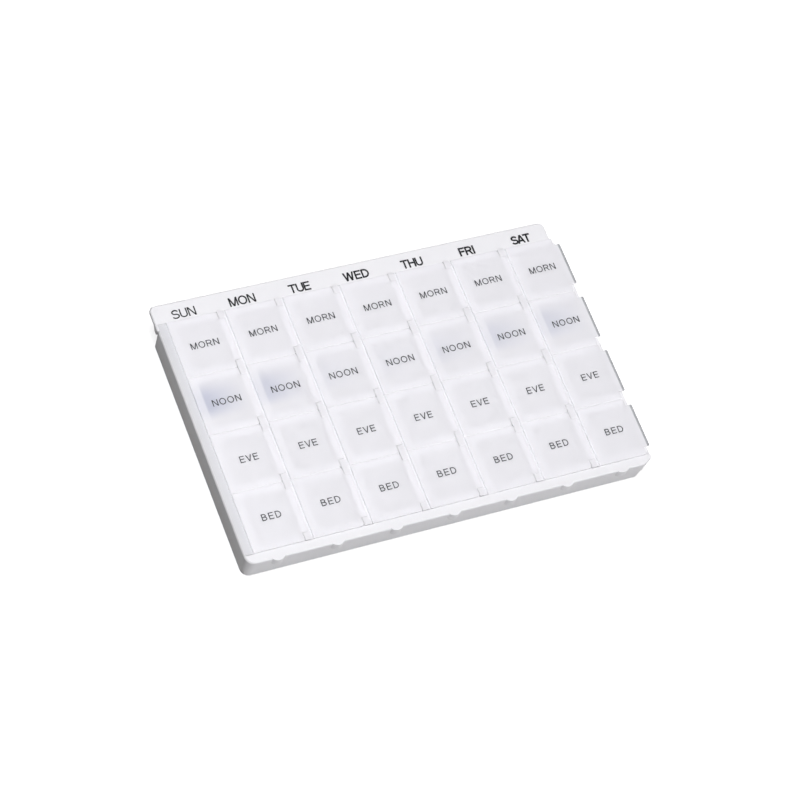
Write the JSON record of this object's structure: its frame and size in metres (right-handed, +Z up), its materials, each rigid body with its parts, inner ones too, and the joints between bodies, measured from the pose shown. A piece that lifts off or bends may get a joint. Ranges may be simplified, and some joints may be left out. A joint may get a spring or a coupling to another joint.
{
  "type": "weekly pill organizer",
  "caption": "Flat white tray of pill wells in a grid of days and times of day, each well closed by its own small hinged lid with a finger tab.",
  "frame": {"origin": "on the table under the middle of the whole object's bounding box", "axes": "+X runs along the week from Sunday to Saturday, +Y runs from the front rim towards the ledge with the day names, +Z is up, out of the wells"},
  "size_m": [0.218, 0.1434, 0.016],
  "materials": {
    "tray_plastic": "injection-moulded white plastic, satin",
    "rail_plastic": "injection-moulded white plastic, satin",
    "lid_plastic": "thin translucent white plastic, softly glossy"
  },
  "bodies": {
    "base": {"tray": "tray_plastic", "hinge_rail_sun": "rail_plastic", "hinge_rail_mon": "rail_plastic", "hinge_rail_tue": "rail_plastic", "hinge_rail_wed": "rail_plastic", "hinge_rail_thu": "rail_plastic", "hinge_rail_fri": "rail_plastic", "hinge_rail_sat": "rail_plastic"},
    "lid_sun_bed": {"lid_sun_bed": "lid_plastic"},
    "lid_sun_eve": {"lid_sun_eve": "lid_plastic"},
    "lid_sun_noon": {"lid_sun_noon": "lid_plastic"},
    "lid_sun_morn": {"lid_sun_morn": "lid_plastic"},
    "lid_mon_bed": {"lid_mon_bed": "lid_plastic"},
    "lid_mon_eve": {"lid_mon_eve": "lid_plastic"},
    "lid_mon_noon": {"lid_mon_noon": "lid_plastic"},
    "lid_mon_morn": {"lid_mon_morn": "lid_plastic"},
    "lid_tue_bed": {"lid_tue_bed": "lid_plastic"},
    "lid_tue_eve": {"lid_tue_eve": "lid_plastic"},
    "lid_tue_noon": {"lid_tue_noon": "lid_plastic"},
    "lid_tue_morn": {"lid_tue_morn": "lid_plastic"},
    "lid_wed_bed": {"lid_wed_bed": "lid_plastic"},
    "lid_wed_eve": {"lid_wed_eve": "lid_plastic"},
    "lid_wed_noon": {"lid_wed_noon": "lid_plastic"},
    "lid_wed_morn": {"lid_wed_morn": "lid_plastic"},
    "lid_thu_bed": {"lid_thu_bed": "lid_plastic"},
    "lid_thu_eve": {"lid_thu_eve": "lid_plastic"},
    "lid_thu_noon": {"lid_thu_noon": "lid_plastic"},
    "lid_thu_morn": {"lid_thu_morn": "lid_plastic"},
    "lid_fri_bed": {"lid_fri_bed": "lid_plastic"},
    "lid_fri_eve": {"lid_fri_eve": "lid_plastic"},
    "lid_fri_noon": {"lid_fri_noon": "lid_plastic"},
    "lid_fri_morn": {"lid_fri_morn": "lid_plastic"},
    "lid_sat_bed": {"lid_sat_bed": "lid_plastic"},
    "lid_sat_eve": {"lid_sat_eve": "lid_plastic"},
    "lid_sat_noon": {"lid_sat_noon": "lid_plastic"},
    "lid_sat_morn": {"lid_sat_morn": "lid_plastic"}
  },
  "joints": [
    {"name": "hinge_sun_bed", "type": "hinge", "parent": "base", "child": "lid_sun_bed", "pos_m": [-0.103, -0.04965, 0.0152], "axis": [0, -1, 0], "range_deg": [0, 135]},
    {"name": "hinge_sun_eve", "type": "hinge", "parent": "base", "child": "lid_sun_eve", "pos_m": [-0.103, -0.01795, 0.0152], "axis": [0, -1, 0], "range_deg": [0, 135]},
    {"name": "hinge_sun_noon", "type": "hinge", "parent": "base", "child": "lid_sun_noon", "pos_m": [-0.103, 0.01375, 0.0152], "axis": [0, -1, 0], "range_deg": [0, 135]},
    {"name": "hinge_sun_morn", "type": "hinge", "parent": "base", "child": "lid_sun_morn", "pos_m": [-0.103, 0.04545, 0.0152], "axis": [0, -1, 0], "range_deg": [0, 135]},
    {"name": "hinge_mon_bed", "type": "hinge", "parent": "base", "child": "lid_mon_bed", "pos_m": [-0.0725, -0.04965, 0.0152], "axis": [0, -1, 0], "range_deg": [0, 135]},
    {"name": "hinge_mon_eve", "type": "hinge", "parent": "base", "child": "lid_mon_eve", "pos_m": [-0.0725, -0.01795, 0.0152], "axis": [0, -1, 0], "range_deg": [0, 135]},
    {"name": "hinge_mon_noon", "type": "hinge", "parent": "base", "child": "lid_mon_noon", "pos_m": [-0.0725, 0.01375, 0.0152], "axis": [0, -1, 0], "range_deg": [0, 135]},
    {"name": "hinge_mon_morn", "type": "hinge", "parent": "base", "child": "lid_mon_morn", "pos_m": [-0.0725, 0.04545, 0.0152], "axis": [0, -1, 0], "range_deg": [0, 135]},
    {"name": "hinge_tue_bed", "type": "hinge", "parent": "base", "child": "lid_tue_bed", "pos_m": [-0.042, -0.04965, 0.0152], "axis": [0, -1, 0], "range_deg": [0, 135]},
    {"name": "hinge_tue_eve", "type": "hinge", "parent": "base", "child": "lid_tue_eve", "pos_m": [-0.042, -0.01795, 0.0152], "axis": [0, -1, 0], "range_deg": [0, 135]},
    {"name": "hinge_tue_noon", "type": "hinge", "parent": "base", "child": "lid_tue_noon", "pos_m": [-0.042, 0.01375, 0.0152], "axis": [0, -1, 0], "range_deg": [0, 135]},
    {"name": "hinge_tue_morn", "type": "hinge", "parent": "base", "child": "lid_tue_morn", "pos_m": [-0.042, 0.04545, 0.0152], "axis": [0, -1, 0], "range_deg": [0, 135]},
    {"name": "hinge_wed_bed", "type": "hinge", "parent": "base", "child": "lid_wed_bed", "pos_m": [-0.0115, -0.04965, 0.0152], "axis": [0, -1, 0], "range_deg": [0, 135]},
    {"name": "hinge_wed_eve", "type": "hinge", "parent": "base", "child": "lid_wed_eve", "pos_m": [-0.0115, -0.01795, 0.0152], "axis": [0, -1, 0], "range_deg": [0, 135]},
    {"name": "hinge_wed_noon", "type": "hinge", "parent": "base", "child": "lid_wed_noon", "pos_m": [-0.0115, 0.01375, 0.0152], "axis": [0, -1, 0], "range_deg": [0, 135]},
    {"name": "hinge_wed_morn", "type": "hinge", "parent": "base", "child": "lid_wed_morn", "pos_m": [-0.0115, 0.04545, 0.0152], "axis": [0, -1, 0], "range_deg": [0, 135]},
    {"name": "hinge_thu_bed", "type": "hinge", "parent": "base", "child": "lid_thu_bed", "pos_m": [0.019, -0.04965, 0.0152], "axis": [0, -1, 0], "range_deg": [0, 135]},
    {"name": "hinge_thu_eve", "type": "hinge", "parent": "base", "child": "lid_thu_eve", "pos_m": [0.019, -0.01795, 0.0152], "axis": [0, -1, 0], "range_deg": [0, 135]},
    {"name": "hinge_thu_noon", "type": "hinge", "parent": "base", "child": "lid_thu_noon", "pos_m": [0.019, 0.01375, 0.0152], "axis": [0, -1, 0], "range_deg": [0, 135]},
    {"name": "hinge_thu_morn", "type": "hinge", "parent": "base", "child": "lid_thu_morn", "pos_m": [0.019, 0.04545, 0.0152], "axis": [0, -1, 0], "range_deg": [0, 135]},
    {"name": "hinge_fri_bed", "type": "hinge", "parent": "base", "child": "lid_fri_bed", "pos_m": [0.0495, -0.04965, 0.0152], "axis": [0, -1, 0], "range_deg": [0, 135]},
    {"name": "hinge_fri_eve", "type": "hinge", "parent": "base", "child": "lid_fri_eve", "pos_m": [0.0495, -0.01795, 0.0152], "axis": [0, -1, 0], "range_deg": [0, 135]},
    {"name": "hinge_fri_noon", "type": "hinge", "parent": "base", "child": "lid_fri_noon", "pos_m": [0.0495, 0.01375, 0.0152], "axis": [0, -1, 0], "range_deg": [0, 135]},
    {"name": "hinge_fri_morn", "type": "hinge", "parent": "base", "child": "lid_fri_morn", "pos_m": [0.0495, 0.04545, 0.0152], "axis": [0, -1, 0], "range_deg": [0, 135]},
    {"name": "hinge_sat_bed", "type": "hinge", "parent": "base", "child": "lid_sat_bed", "pos_m": [0.08, -0.04965, 0.0152], "axis": [0, -1, 0], "range_deg": [0, 135]},
    {"name": "hinge_sat_eve", "type": "hinge", "parent": "base", "child": "lid_sat_eve", "pos_m": [0.08, -0.01795, 0.0152], "axis": [0, -1, 0], "range_deg": [0, 135]},
    {"name": "hinge_sat_noon", "type": "hinge", "parent": "base", "child": "lid_sat_noon", "pos_m": [0.08, 0.01375, 0.0152], "axis": [0, -1, 0], "range_deg": [0, 135]},
    {"name": "hinge_sat_morn", "type": "hinge", "parent": "base", "child": "lid_sat_morn", "pos_m": [0.08, 0.04545, 0.0152], "axis": [0, -1, 0], "range_deg": [0, 135]}
  ]
}
